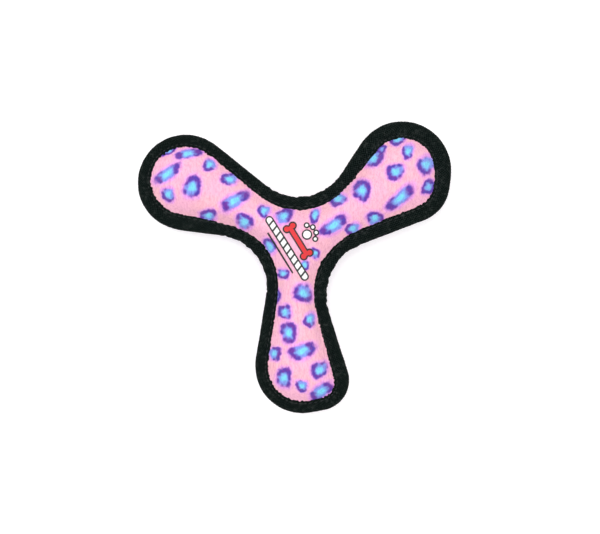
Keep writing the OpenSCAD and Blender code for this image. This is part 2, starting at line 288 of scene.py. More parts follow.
class Finish:
    """A new material with its shader at hand."""

    def __init__(self, name, roughness, **sockets):
        self.material = bpy.data.materials.new(name)
        self.material.use_nodes = True
        self.tree = self.material.node_tree
        self.shader = self.tree.nodes["Principled BSDF"]
        self.shader.inputs["Roughness"].default_value = roughness
        for socket, value in sockets.items():
            self.shader.inputs[socket.replace("_", " ")].default_value = value

    def add(self, kind, inputs=(), **settings):
        """A node of that kind. inputs are (socket, value or output) pairs."""
        made = self.tree.nodes.new("ShaderNode" + kind)
        for key, value in settings.items():
            setattr(made, key, value)
        for socket, value in inputs:
            if isinstance(value, bpy.types.NodeSocket):
                self.tree.links.new(value, made.inputs[socket])
            else:
                made.inputs[socket].default_value = value
        return made

    def maths(self, operation, a, b=0.0, clamp=False):
        """A sum or other operation on one or two values."""
        return self.add("Math", [(0, a), (1, b)], operation=operation, use_clamp=clamp).outputs[0]

    def mix(self, factor, a, b):
        """Colour a where the factor is 0 and colour b where it is 1."""
        return self.add("Mix", [(0, factor), (6, a), (7, b)], data_type="RGBA").outputs[2]

    def ramp(self, factor, low, high):
        """0 below low, 1 above high, smooth between."""
        pairs = [(0, factor), (1, low), (2, high)]
        return self.add("MapRange", pairs, interpolation_type="SMOOTHSTEP").outputs[0]

    def place(self, scale=(1, 1, 1), turn=(0, 0, 0), uv=False):
        """Object coordinates, or the piece's own map, in metres."""
        source = self.add("TexCoord").outputs["UV" if uv else "Object"]
        return self.add("Mapping", [(0, source), (2, turn), (3, scale)]).outputs[0]

    def grain(self, where, scale, detail=2.0, roughness=0.5):
        """Noise of that many grains in a metre, about 0 to 1."""
        pairs = [("Vector", where), ("Scale", scale), ("Detail", detail), ("Roughness", roughness)]
        return self.add("TexNoise", pairs).outputs[0]

    def relief(self, height, distance, strength, under=None):
        """A bumped normal, on top of the one under it."""
        pairs = [("Height", height), ("Distance", distance), ("Strength", strength)]
        if under is not None:
            pairs.append(("Normal", under))
        return self.add("Bump", pairs).outputs[0]

    def finish(self, colour=None, roughness=None, normal=None):
        """Joins the chain's ends to the shader and gives the material."""
        for socket, value in (("Base Color", colour), ("Roughness", roughness), ("Normal", normal)):
            if value is not None:
                self.tree.links.new(value, self.shader.inputs[socket])
        return self.material


def dress(piece, material):
    """The material in every slot of the piece."""
    piece.data.materials.clear()
    piece.data.materials.append(material)


# %% [markdown]
# ## The printed plush
#
# The cloth is a short pink pile with open leopard spots: a violet ring, broken on one side, round a
# pale blue middle. The print sits in the fibres, so its edges are ragged. Where each spot lies is
# painted on the mesh as four values: how near a spot's heart a point is, whether it is inside, how
# much of the ring covers it, and the lilac bloom around it. The shader turns those into colour.

# %% The spots of the print
# Centre x and y, length and width in millimetres; in degrees, the turn of the long side and the side
# on which the ring is heavy (None: heavy at both ends); and how open the ring is on the far side.
SPOTS = [
    (-81.5, 42.5, 19.5, 9, 29, None, 0.8), (-68.5, 55.5, 16.5, 7.5, 12, None, 0.7),
    (-81.5, 57.5, 13, 5, 28, 60, 0.1), (-55, 48.5, 9, 8.5, 0, 225, 0.9),
    (-42.5, 39.5, 11, 8.5, -10, 170, 0.8), (-65.5, 34, 14, 12, 80, 40, 0.5),
    (-81, 29.5, 9.5, 9, 0, 230, 0.8), (-39, 25.5, 21, 9, 27, None, 0.8),
    (-56, 16.5, 10.5, 8.5, 0, 100, 0.7), (-33, 12.5, 11, 11, 0, 60, 0.7),
    (-20.5, 19, 9, 8, 60, 205, 0.9), (-8, 16, 13, 9.5, 25, 45, 0.9),
    (11.5, 16.5, 10.5, 6.5, 75, 240, 1.0), (23.5, 10, 20, 9.5, 38, None, 0.8),
    (11.5, -7.5, 7, 7, 60, 30, 0.8), (-17, -3, 11, 8, 105, 80, 0.9),
    (-8.5, -20.5, 8, 7.5, 0, 290, 0.6), (5, -15, 7, 6, 120, 300, 1.0),
    (4, -32.5, 13, 12, 90, 240, 0.6), (-13.5, -34, 10, 7.5, 95, 10, 0.1),
    (35.5, 8, 9.5, 8.5, 40, 200, 1.0), (26, 27, 12, 9.5, 42, 225, 0.7),
    (64, 65, 11, 8.5, 10, 250, 0.7), (70.3, 56.8, 10.5, 8, 75, 225, 1.0),
    (49, 52.5, 14, 9.5, 50, 330, 0.8), (54, 58.5, 7, 5, 60, 60, 0.0),
    (62, 43.5, 11.5, 11, 0, 200, 0.5), (82, 48.5, 13, 12, 50, 225, 0.9),
    (83.5, 34.5, 11, 8.5, 65, 240, 0.1), (41, 32, 14.5, 11, 72, 50, 0.3),
    (65.5, 27.5, 21, 9.5, 38, None, 0.8), (49.5, 14.5, 10.5, 9.5, 20, 95, 0.6),
    (-7.5, -44.5, 10, 9, 0, 170, 0.5), (8.5, -49.5, 10, 8, 60, 225, 0.9),
    (-5, -57.5, 13, 11.5, 90, 20, 0.4), (3.5, -69, 17.5, 10.5, 25, None, 0.6),
    (-14, -71, 10, 8, 80, 20, 0.7), (14.5, -81, 11, 11, 0, 220, 0.5),
    (-8, -86, 12.5, 11, 90, 60, 0.5), (3.5, -91, 8.5, 8, 0, 225, 0.9),
    (15.5, -95, 18.5, 9, 33, None, 0.6),
]
# Every spot is drawn a little smaller than its listed size.
SPOT_FIT = 0.93


def print_spots(xy, turn):
    """Four values per point: in a spot's heart, inside it, under its ring, in its bloom."""
    heart, inside, ring, bloom = (np.zeros(len(xy)) for _ in range(4))
    c, s = math.cos(turn), math.sin(turn)
    cloth = np.stack([xy[:, 0] * c + xy[:, 1] * s, xy[:, 1] * c - xy[:, 0] * s], axis=1)
    flat = np.column_stack([cloth, np.zeros(len(xy))])
    lumps = 0.8 * MM * ripple(flat, 1 / (2.4 * MM), 31) + 0.45 * MM * ripple(flat, 1 / (1.2 * MM), 32)
    for number, (x, y, length, breadth, angle, heavy, gap) in enumerate(SPOTS):
        away = cloth - np.array([x, y]) * MM
        near = np.linalg.norm(away, axis=1) < 1.2 * length * MM
        if not near.any():
            continue
        a = math.radians(angle)
        u = (away[near] @ (math.cos(a), math.sin(a))) / (SPOT_FIT * length / 2 * MM)
        v = (away[near] @ (-math.sin(a), math.cos(a))) / (SPOT_FIT * breadth / 2 * MM)
        phi = np.arctan2(v, u)
        wobble = 0.08 * np.sin(2 * phi + number * 1.7) + 0.06 * np.sin(3 * phi + number * 2.9)
        size = math.sqrt(length * breadth) / 2 * MM
        boxy = (np.abs(u) ** 2.5 + np.abs(v) ** 2.5) ** 0.4
        r = boxy / (1 + wobble) + lumps[near] / size
        if heavy is None:
            weight = 0.5 + 0.5 * np.cos(2 * phi)
        else:
            weight = 0.5 + 0.5 * np.cos(phi - math.radians(heavy - angle))
        frayed = 0.14 * np.sin(7 * phi + number) + 0.12 * np.sin(4 * phi + 2.3 * number)
        weight = np.clip(1 - min(1, gap + 0.08) * (1 - weight) + frayed, 0, 1)
        band = smooth(r, 0.55 - 0.3 * weight, 0.98 - 0.22 * weight) * (1 - smooth(r, 0.78, 1.26))
        dim = min(1, 0.4 + 2 * gap)
        heart[near] = np.maximum(heart[near], dim * (1 - smooth(r, 0.0, 0.7)))
        inside[near] = np.maximum(inside[near], 1 - smooth(r, 0.6, 1.05))
        ring[near] = np.maximum(ring[near], band * smooth(weight, 0.0, 0.78))
        bloom[near] = np.maximum(bloom[near], 1 - smooth(r, 0.85, 1.6))
    return heart, inside, ring, bloom


print(len(SPOTS), "spots in the repeat")

# %% [markdown]
# The colour chain reads the four painted values and frays them with noise that is stretched the
# way the pile lies. Between the tufts the colour is darkened as painted shade. A short pile scatters
# light at grazing angles, which the sheen gives.

# %% Plush material


def plush_material():
    plush = Finish("printed_plush", 0.95, Sheen_Weight=0.3, Sheen_Roughness=0.45)
    plush.shader.inputs["Sheen Tint"].default_value = (1.0, 0.88, 0.95, 1)
    plush.shader.inputs["Specular IOR Level"].default_value = 0.1
    lie = plush.place(scale=(1.0, 0.28, 1.0), turn=(0, 0, 0.35))
    strands = plush.grain(lie, 2600, 3, 0.65)
    tufts = plush.grain(lie, 900, 3, 0.6)
    fray = plush.maths("SUBTRACT", plush.grain(lie, 1500, 3, 0.7), 0.5)

    def painted(name, amount, low, high):
        value = plush.add("Attribute", attribute_name=name).outputs["Fac"]
        frayed = plush.maths("ADD", value, plush.maths("MULTIPLY", fray, amount))
        return plush.ramp(frayed, low, high)

    patches = plush.ramp(plush.grain(plush.place(), 55, 3, 0.6), 0.35, 0.65)
    pink = plush.mix(patches, (0.96, 0.50, 0.66, 1), (0.97, 0.52, 0.60, 1))
    colour = plush.mix(painted("bloom", 0.3, 0.0, 1.05), pink, (0.86, 0.36, 0.86, 1))
    sky = plush.mix(painted("heart", 0.4, 0.05, 0.85), (0.24, 0.33, 0.86, 1), (0.22, 0.74, 0.97, 1))
    colour = plush.mix(painted("inside", 0.4, 0.0, 1.0), colour, sky)
    violet = plush.mix(plush.ramp(plush.grain(plush.place(), 330, 2, 0.5), 0.35, 0.65),
                       (0.17, 0.045, 0.37, 1), (0.10, 0.055, 0.42, 1))
    colour = plush.mix(painted("ring", 0.45, 0.05, 0.95), colour, violet)
    # Painted shade: where the strands and tufts are low, between the tufts, the colour is multiplied
    # darker, at the same places where the bump sinks.
    shade = plush.ramp(plush.maths("ADD", strands, tufts), 0.75, 1.15)
    dark = plush.add("Mix", [(0, 1.0), (6, colour), (7, (0.82, 0.7, 0.78, 1))],
                     data_type="RGBA", blend_type="MULTIPLY").outputs[2]
    colour = plush.mix(shade, dark, colour)
    soft = plush.relief(tufts, 0.0008, 0.6)
    return plush.finish(colour, normal=plush.relief(strands, 0.0004, 0.7, soft))


PLUSH = plush_material()

# %% [markdown]
# ## The covers
#
# Each cover starts as a flat cloth of square cells, cut to the toy's outline and lifted onto the
# stuffed shape. Cloth simulation under a little pressure, held where the tape holds it, lets it
# find its own tension. Then it is subdivided for the pile, creased where the seam gathers it,
# and given the thickness of real cloth.

# %% Cutting and lifting a cover
CLOTH_CELL = 2.0 * MM
UNDER_TAPE = 3.0 * MM
RIM_LEVEL = 2.6 * MM
BACK_TURN = math.radians(120)


def choose(parts, kind, chosen):
    """Edit mode, with only the chosen points or edges of the active piece selected."""
    bpy.ops.object.mode_set(mode="EDIT")
    bpy.ops.mesh.select_mode(type=kind)
    bpy.ops.mesh.select_all(action="DESELECT")
    bpy.ops.object.mode_set(mode="OBJECT")
    parts.foreach_set("select", chosen)
    bpy.ops.object.mode_set(mode="EDIT")


def cut_away(piece, chosen):
    """Deletes the chosen points and the faces that hang on them."""
    choose(piece.data.vertices, "VERT", chosen)
    bpy.ops.mesh.delete(type="VERT")
    bpy.ops.object.mode_set(mode="OBJECT")


def cut_cloth(name):
    """A flat grid over the whole toy, cut away outside the tape's inner edge."""
    deselect()
    span = cad_high - cad_low
    middle = (cad_low + cad_high) / 2
    across, up = int(span.x / CLOTH_CELL), int(span.y / CLOTH_CELL)
    bpy.ops.mesh.primitive_grid_add(x_subdivisions=across, y_subdivisions=up, size=1)
    cloth = bpy.context.object
    cloth.name = name
    co = points_of(cloth)
    co[:, 0] = co[:, 0] * across * CLOTH_CELL + middle.x
    co[:, 1] = co[:, 1] * up * CLOTH_CELL + middle.y
    put_points(cloth, co)
    near, inset = from_edge(co[:, :2])
    cut_away(cloth, inset < width[near] - UNDER_TAPE)
    return cloth


def surface_of(piece):
    """A tree for ray casts on a piece as it now is."""
    return BVHTree.FromObject(piece, bpy.context.evaluated_depsgraph_get())


def lift(cloth, shape, side):
    """Raises each point to the outer face of a CAD cover, then smooths the facets away."""
    co = points_of(cloth)
    tree = surface_of(shape)
    for p in co:
        hit = tree.ray_cast(Vector((p[0], p[1], MID + side * 0.1)), Vector((0, 0, -side)))
        if hit[0] is not None:
            p[2] = hit[0].z
        else:
            p[2] = MID + side * RIM_LEVEL
    put_points(cloth, co)
    ease = cloth.modifiers.new("ease", "SMOOTH")
    ease.use_x = ease.use_y = False
    ease.factor = 0.5
    ease.iterations = 6
    bpy.ops.object.modifier_apply(modifier="ease")


def apply_all(piece):
    """Applies the piece's modifiers in order."""
    deselect()
    piece.select_set(True)
    bpy.context.view_layer.objects.active = piece
    for m in list(piece.modifiers):
        bpy.ops.object.modifier_apply(modifier=m.name)


PRESSURE = 4.0
FRAMES = 20
HELD_PAST_LIP = 0.6 * MM
MOST_MOVE = 1.5 * MM


def inflate(cloth):
    """Cloth under pressure, pinned under the tape, with no point moved far."""
    start = points_of(cloth)
    near, inset = from_edge(start[:, :2])
    held = cloth.vertex_groups.new(name="held")
    for i in np.nonzero(inset < width[near] + HELD_PAST_LIP)[0]:
        held.add([int(i)], 1.0, "REPLACE")
    cloth_sim = cloth.modifiers.new("cloth", "CLOTH")
    cloth_sim.settings.quality = 6
    cloth_sim.settings.mass = 0.05
    cloth_sim.settings.use_pressure = True
    cloth_sim.settings.uniform_pressure_force = PRESSURE
    cloth_sim.settings.vertex_group_mass = "held"
    cloth_sim.settings.effector_weights.gravity = 0
    cloth_sim.point_cache.frame_start = 1
    cloth_sim.point_cache.frame_end = FRAMES
    for f in range(1, FRAMES + 1):
        bpy.context.scene.frame_set(f)
    shown = cloth.evaluated_get(bpy.context.evaluated_depsgraph_get())
    end = points_of(shown)
    cloth.modifiers.remove(cloth_sim)
    cloth.vertex_groups.remove(held)
    bpy.context.scene.frame_set(1)
    move = end - start
    far = np.linalg.norm(move, axis=1)
    print(cloth.name, "moved up to", (far.max() / MM).round(2), "mm, mean", (far.mean() / MM).round(2))
    move *= (np.minimum(far, MOST_MOVE) / np.maximum(far, 1e-9))[:, None]
    put_points(cloth, start + move)


CREASE = 0.6 * MM
CREASE_FADE = 4.5 * MM
SWAY = 0.25 * MM
PILE = 0.22 * MM
COVER_THICK = 1.6 * MM
COVER_PRESSED = 0.7 * MM
FLOOR_GAP = 0.25 * MM


def gather(co, side):
    """Short creases that run in from the seam, where the tape draws the cloth together."""
    near, inset = from_edge(co[:, :2])
    way_in = inset - width[near]
    s = near * EDGE_LENGTH / FINE
    stretch = np.stack([s, np.zeros_like(s), np.zeros_like(s)], axis=1)
    crease = ripple(stretch, 1 / (6 * MM), 1) + 0.5 * ripple(stretch, 1 / (2.6 * MM), 2)
    fade = np.exp(-np.clip(way_in, 0, None) / CREASE_FADE) * smooth(way_in, -0.5 * MM, 1.5 * MM)
    co[:, 2] += side * CREASE * crease * fade
    slow = ripple(co, 1 / (16 * MM), 3)
    co[:, 2] += side * SWAY * slow * smooth(way_in, 0, 6 * MM)
    return co


def raise_pile(cloth):
    """Fine tufts along the normals, with none under the tape."""
    co = points_of(cloth)
    near, inset = from_edge(co[:, :2])
    tuft = 0.5 * ripple(co * (1, 0.6, 1), 1 / (1.1 * MM), 5) + 0.5 * ripple(co, 1 / (0.6 * MM), 6)
    free = smooth(inset - width[near], -1 * MM, 1 * MM)
    put_points(cloth, co + normals_of(cloth) * (PILE * tuft * free)[:, None])


def thicken(cloth, thickness, pressed):
    """Cloth thickness added inwards, thinner where the tape presses it."""
    co = points_of(cloth)
    near, inset = from_edge(co[:, :2])
    loose = smooth(inset - width[near], 0, 3 * MM)
    plump = cloth.vertex_groups.new(name="plump")
    for i, w in enumerate(pressed / thickness + (1 - pressed / thickness) * loose):
        plump.add([i], float(w), "REPLACE")
    wall = cloth.modifiers.new("wall", "SOLIDIFY")
    wall.thickness = thickness
    wall.offset = -1
    wall.vertex_group = "plump"
    wall.use_even_offset = False
    apply_all(cloth)
    cloth.vertex_groups.clear()


def make_cover(name, node, side):
    """The cloth cut, lifted, inflated, subdivided and creased; the back one faces down."""
    cloth = cut_cloth(name)
    lift(cloth, nodes[node], side)
    if side < 0:
        bpy.ops.object.mode_set(mode="EDIT")
        bpy.ops.mesh.select_all(action="SELECT")
        bpy.ops.mesh.flip_normals()
        bpy.ops.object.mode_set(mode="OBJECT")
    inflate(cloth)
    finer = cloth.modifiers.new("finer", "SUBSURF")
    finer.levels = finer.render_levels = 2
    apply_all(cloth)
    co = gather(points_of(cloth), side)
    if side < 0:
        co[:, 2] = np.maximum(co[:, 2], FLOOR_GAP)
    put_points(cloth, co)
    return cloth


def finish_cover(cloth, side, turn):
    """Paints the print, turned by that angle, then raises the pile and thickens the cloth."""
    co = points_of(cloth)
    for key, values in zip(("heart", "inside", "ring", "bloom"), print_spots(co[:, :2], turn)):
        paint(cloth, key, values)
    raise_pile(cloth)
    if side < 0:
        co = points_of(cloth)
        co[:, 2] = np.maximum(co[:, 2], 0.0)
        put_points(cloth, co)
    thicken(cloth, COVER_THICK, COVER_PRESSED)
    bpy.ops.object.shade_smooth()
    dress(cloth, PLUSH)


front = make_cover("plush_front", "front_fleece_cover", 1)
bare_front = surface_of(front)
back = make_cover("plush_back", "back_fleece_cover", -1)
finish_cover(front, 1, 0.0)
finish_cover(back, -1, BACK_TURN)
for cloth, node in ((front, "front_fleece_cover"), (back, "back_fleece_cover")):
    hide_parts(node)
    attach(cloth, BODY)
    print(cloth.name, len(cloth.data.polygons), "faces")

# %% [markdown]
# ## The edge tape
#
# One woven tape is folded over the raw edges. A long grid is bent into its section: over the top,
# round the fold, back under, and in again along the inside. The fold is the toy's outer edge. In
# a notch the fold is on the short side of the bend, so it puckers there; on a lobe the fold is
# stretched smooth and the inner edges pucker instead.

# %% Tape section and puckers
TAPE_THICK = 0.9 * MM
STITCH_IN = 1.8 * MM
RIB_PITCH = 2 * MM
FOLD_POINTS = 13
FLAT_POINTS = 10


def tape_section(b):
    """Inset and height, above the middle, of the section's points, for a tape that shows b."""
    r = TAPE_HALF
    line = b - STITCH_IN
    section = []
    for k in range(FLAT_POINTS):
        x = b + (r - b) * k / FLAT_POINTS
        crown = 0.25 * MM * math.sin(math.pi * np.clip((line - x) / (line - r), 0, 1))
        pinch = 0.45 * MM * math.exp(-(((x - line) / (0.9 * MM)) ** 2))
        section.append((x, r + crown - pinch))
    for k in range(FOLD_POINTS + 1):
        a = math.pi * k / FOLD_POINTS
        bulge = abs(math.sin(a)) ** 0.8
        section.append((r * (1 - bulge), r * math.cos(a)))
    section += [(x, -z) for x, z in reversed(section[:FLAT_POINTS])]
    inner = r - TAPE_THICK
    inside = [(b - 0.2 * MM, -inner), (0.6 * b, -inner), (TAPE_THICK + 0.3 * MM, -inner * 0.9),
              (TAPE_THICK + 0.3 * MM, inner * 0.9), (0.6 * b, inner), (b - 0.2 * MM, inner)]
    return section + inside + section[:1]


SECTION = len(tape_section(TAPE_REACH)) - 1


def build_tape():
    """The whole tape as one closed piece, with its pleats, its ribs and a map in metres."""
    deselect()
    bpy.ops.mesh.primitive_grid_add(x_subdivisions=FINE, y_subdivisions=SECTION, size=1)
    made = bpy.context.object
    made.name = "binding_tape"
    flat = points_of(made)
    column = np.round((flat[:, 0] + 0.5) * FINE).astype(int) % FINE
    row = np.round((flat[:, 1] + 0.5) * SECTION).astype(int) % SECTION
    s = np.arange(FINE) * EDGE_LENGTH / FINE
    wave = np.stack([np.cos(s * 2 * np.pi / EDGE_LENGTH), np.sin(s * 2 * np.pi / EDGE_LENGTH)], axis=1)
    ringed = np.column_stack([wave * EDGE_LENGTH / (2 * np.pi), np.zeros(FINE)])
    pucker = ripple(ringed, 1 / (2.6 * MM), 11) + 0.6 * ripple(ringed, 1 / (1.5 * MM), 12)
    slow = ripple(ringed, 1 / (14 * MM), 13)
    notch = smooth(-bend, 4, 22)
    lobe = smooth(bend, 4, 24)
    co = np.zeros_like(flat)
    sections = np.array([tape_section(b) for b in width])
    x = sections[column, row, 0]
    z = sections[column, row, 1]
    at_fold = np.exp(-x / (2.5 * MM))
    at_lip = np.exp(-np.abs(width[column] - x) / (2.0 * MM))
    outer = row <= 2 * FLAT_POINTS + FOLD_POINTS
    pitch = EDGE_LENGTH / round(EDGE_LENGTH / RIB_PITCH)
    rib = 0.05 * MM * np.cos(2 * np.pi * s / pitch)[column]
    swell = pucker[column] * (0.12 + 0.6 * notch[column]) * at_fold
    swell += pucker[column] * (0.15 + 0.25 * lobe[column]) * at_lip
    swell = swell * MM + 0.15 * MM * slow[column] + rib
    ragged = ripple(ringed, 1 / (1.6 * MM), 14) * 0.9 * MM + pucker * 0.55 * MM
    x_out = x - np.where(outer, swell * at_fold, 0) + np.where(outer, at_lip * ragged[column], 0)
    z_out = z + np.sign(z) * np.where(outer, swell * (1 - 0.5 * at_fold), 0)
    co[:, :2] = edge[column] - outward[column] * x_out[:, None]
    co[:, 2] = MID + z_out
    put_points(made, co)
    across = np.linalg.norm(np.diff(tape_section(TAPE_REACH), axis=0), axis=1)
    across = np.concatenate([[0], np.cumsum(across)])
    uv = made.data.uv_layers.active.data
    maps = np.zeros(len(uv) * 2)
    uv.foreach_get("uv", maps)
    maps = maps.reshape(-1, 2)
    maps[:, 0] *= EDGE_LENGTH
    maps[:, 1] = np.interp(maps[:, 1] * SECTION, np.arange(SECTION + 1), across)
    uv.foreach_set("uv", maps.ravel())
    bpy.ops.object.mode_set(mode="EDIT")
    bpy.ops.mesh.select_all(action="SELECT")
    bpy.ops.mesh.remove_doubles(threshold=0.00001)
    bpy.ops.mesh.normals_make_consistent(inside=False)
    bpy.ops.object.mode_set(mode="OBJECT")
    bpy.ops.object.shade_smooth()
    return made


# %% [markdown]
# The tape is black polyester with a plain weave: fine ribs across it and finer threads along it,
# which the material draws from the tape's own map, in metres along and across. Black cloth is
# never quite black: the tops of the threads catch a grey-green light, and this is a painted
# highlight in the colour.

# %% Tape material


def tape_material():
    weave = Finish("ribbed_tape", 0.75)
    weave.shader.inputs["Specular IOR Level"].default_value = 0.03
    where = weave.place(uv=True)
    parts = weave.add("SeparateXYZ", [(0, where)])
    jitter = weave.maths("MULTIPLY", weave.grain(where, 500, 2), 0.0009)

    def waves(coordinate, pitch):
        shifted = weave.maths("ADD", coordinate, jitter)
        turned = weave.maths("MULTIPLY", shifted, 2 * math.pi / pitch)
        return weave.maths("SINE", turned)

    cross = weave.maths("MULTIPLY", waves(parts.outputs[0], 0.0018), waves(parts.outputs[1], 0.0015))
    knots = weave.maths("ADD", cross, weave.maths("MULTIPLY", weave.grain(where, 1100, 3), 1.4))
    tops = weave.ramp(knots, 0.3, 1.3)
    worn = weave.ramp(weave.grain(weave.place(), 420, 4, 0.75), 0.5, 0.7)
    # Painted highlight: the raised tops of the threads are coloured a lighter grey-green than the hollows
    # between them.
    colour = weave.mix(tops, (0.0002, 0.002, 0.0017, 1), (0.011, 0.018, 0.016, 1))
    colour = weave.mix(weave.maths("MULTIPLY", worn, 0.75), colour, (0.034, 0.041, 0.038, 1))
    rough = weave.add("MapRange", [(0, tops), (3, 0.85), (4, 0.6)]).outputs[0]
    under = weave.relief(weave.grain(weave.place(), 700, 3), 0.0006, 0.6)
    return weave.finish(colour, rough, weave.relief(knots, 0.0003, 0.9, under))


binding = build_tape()
dress(binding, tape_material())
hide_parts("edge_binding")
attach(binding, BODY)
print("tape", len(binding.data.polygons), "faces")

# %% [markdown]
# ## The stitches
#
# A lockstitch shows as a row of short, plump threads, each sunk a little into the tape. One stitch
# is made from a small cylinder with its ends drawn in, and its points are set down again and again
# along the seam, on the front and on the back.

# %% Stitch rows
STITCH = 3.1 * MM
STITCH_GAP = 0.7 * MM
BINDING_THREAD = 0.6 * MM
SEAM_THREAD = 0.35 * MM
SEAM_IN = 3.6 * MM
SEAM_LEVEL = 2.65 * MM


def one_stitch():
    """A thread lying along X, 1 long, thick in the middle and tucked down at its ends."""
    deselect()
    bpy.ops.mesh.primitive_cylinder_add(vertices=6, radius=0.5, depth=1, end_fill_type="TRIFAN",
                                        rotation=(0, math.pi / 2, 0))
    bpy.ops.object.transform_apply(location=False, rotation=True, scale=False)
    stitch = bpy.context.object
    stitch.name = "stitch_pattern"
    bpy.ops.object.mode_set(mode="EDIT")
    bpy.ops.mesh.select_all(action="SELECT")
    bpy.ops.mesh.bisect(plane_co=(-0.25, 0, 0), plane_no=(1, 0, 0))
    bpy.ops.mesh.select_all(action="SELECT")
    bpy.ops.mesh.bisect(plane_co=(0.25, 0, 0), plane_no=(1, 0, 0))
    bpy.ops.object.mode_set(mode="OBJECT")
    co = points_of(stitch)
    slim = 1 - 0.55 * (2 * np.abs(co[:, 0])) ** 2
    co[:, 1:] *= slim[:, None]
    co[:, 2] -= 0.5 * (2 * co[:, 0]) ** 2
    put_points(stitch, co)
    return stitch


def stitch_row(name, pattern, inset_of, height, thread):
    """The pattern set down along the edge at that inset, on both sides, as one piece."""
    shape = points_of(pattern)
    faces = [tuple(p.vertices) for p in pattern.data.polygons]
    number = int(EDGE_LENGTH / (STITCH + STITCH_GAP))
    verts, polygons = [], []
    for side in (1, -1):
        for k in range(number):
            a = (k + 0.1) * FINE / number
            b = (k + 0.1 + STITCH / (STITCH + STITCH_GAP)) * FINE / number
            middle = int((a + b) / 2) % FINE
            p, q = on_edge(np.array([a, b]) % FINE, np.full(2, inset_of[middle]))
            run = (q - p) / np.linalg.norm(q - p)
            across = np.array([-run[1], run[0]])
            centre = (p + q) / 2
            first = len(verts)
            long = np.linalg.norm(q - p)
            for x, y, z in shape:
                flat = centre + run * x * long + across * y * thread
                verts.append((flat[0], flat[1], MID + side * (height + z * thread)))
            turned = faces if side > 0 else [tuple(reversed(f)) for f in faces]
            polygons += [tuple(first + i for i in f) for f in turned]
    mesh = bpy.data.meshes.new(name)
    mesh.from_pydata(verts, [], polygons)
    row = bpy.data.objects.new(name, mesh)
    bpy.context.scene.collection.objects.link(row)
    mesh.polygons.foreach_set("use_smooth", [True] * len(mesh.polygons))
    print(name, 2 * number, "stitches")
    return row


def thread_material(name, light, dark):
    thread = Finish(name, 0.55)
    where = thread.place()
    twist = thread.grain(where, 2500, 2)
    thread.shader.inputs["Specular IOR Level"].default_value = 0.4
    return thread.finish(thread.mix(twist, dark, light), normal=thread.relief(twist, 0.0002, 0.6))


pattern = one_stitch()
black_thread = thread_material("black_thread", (0.03, 0.036, 0.036, 1), (0.006, 0.008, 0.008, 1))
white_thread = thread_material("white_thread", (0.8, 0.8, 0.78, 1), (0.5, 0.5, 0.48, 1))
visible_row = stitch_row("binding_stitch_rows", pattern, width - STITCH_IN, TAPE_HALF - 0.4 * MM,
                         BINDING_THREAD)
dress(visible_row, black_thread)
hidden_row = stitch_row("assembly_stitch_rows", pattern, np.full(FINE, SEAM_IN), SEAM_LEVEL,
                        SEAM_THREAD)
dress(hidden_row, white_thread)
bpy.data.objects.remove(pattern)
for row, node, name in ((visible_row, "binding_stitches", "black_thread"),
                        (hidden_row, "assembly_stitches", "white_thread")):
    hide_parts(node)
    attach(row, BODY)

# %% [markdown]
# ## The print on the hub
#
# The emblem is plain: a white stripe with dark bars and a thin line beside it, a red bone and a
# white paw, each edged in black ink. Ink dries on top of the pile, so the emblem is a thin skin a
# little above the cloth. A fine grid is laid over the hub, cut to these shapes, laid on the cloth
# and painted by its distance from their edges.

# %% Emblem shapes
STRIPE_TURN = math.radians(-58)
STRIPE_AT = (-6, -4.5)
BAR_PITCH = 4.2
INK_CELL = 0.3 * MM
INK_RIM = INK_CELL * 0.6
INK_THICK = 0.3 * MM
INK_RISE = 0.35 * MM


def capsule(xy, centre, turn, half_length, radius):
    """Distance to a rounded bar's edge, negative inside."""
    away = xy - np.array(centre) * MM
    u = away @ (math.cos(turn), math.sin(turn))
    v = away @ (-math.sin(turn), math.cos(turn))
    u = np.abs(u) - np.minimum(np.abs(u), half_length * MM)
    return np.hypot(u, v) - radius * MM


def disc(xy, centre, radius):
    """Distance to a disc's edge, negative inside."""
    return np.linalg.norm(xy - np.array(centre) * MM, axis=1) - radius * MM


def bone(xy):
    """A bar with two knobs at each end."""
    centre = np.array((1.0, 0.2))
    run = np.array((math.cos(STRIPE_TURN), math.sin(STRIPE_TURN)))
    side = np.array((-run[1], run[0]))
    shape = capsule(xy, centre, STRIPE_TURN, 9.5, 2.2)
    for s in (-1, 1):
        for t in (-1, 1):
            shape = np.minimum(shape, disc(xy, centre + run * s * 10.07 + side * t * 2.2, 2.6))
    return shape


def paw(xy):
    """A round pad with four toes."""
    centre = np.array((6.5, 4.2))
    shape = disc(xy, centre, 3.3)
    for turn in (-60, -20, 20, 60):
        a = STRIPE_TURN + math.radians(90 + turn)
        toe = centre + 5.9 * np.array((math.cos(a), math.sin(a)))
        shape = np.minimum(shape, disc(xy, toe, 1.9))
    return shape


def emblem_distances(xy):
    """Distances to the edges of the stripe and its line, the bone, and the paw."""
    stripe = capsule(xy, STRIPE_AT, STRIPE_TURN, 21, 2.6)
    line = capsule(xy, (-10.4, -7.4), STRIPE_TURN, 14.5, 0.5)
    return np.minimum(stripe, line), bone(xy), paw(xy)


def bars(xy):
    """Slanted bars across the stripe: 1 on a bar, 0 between."""
    away = xy / MM - np.array(STRIPE_AT)
    u = away @ (math.cos(STRIPE_TURN), math.sin(STRIPE_TURN))
    v = away @ (-math.sin(STRIPE_TURN), math.cos(STRIPE_TURN))
    wave = np.abs(((u + 0.35 * v) / BAR_PITCH) % 1 - 0.5) * BAR_PITCH
    return smooth(-wave, -0.75, -0.45) * (np.abs(v) < 2.7) * (np.abs(u) < 20)


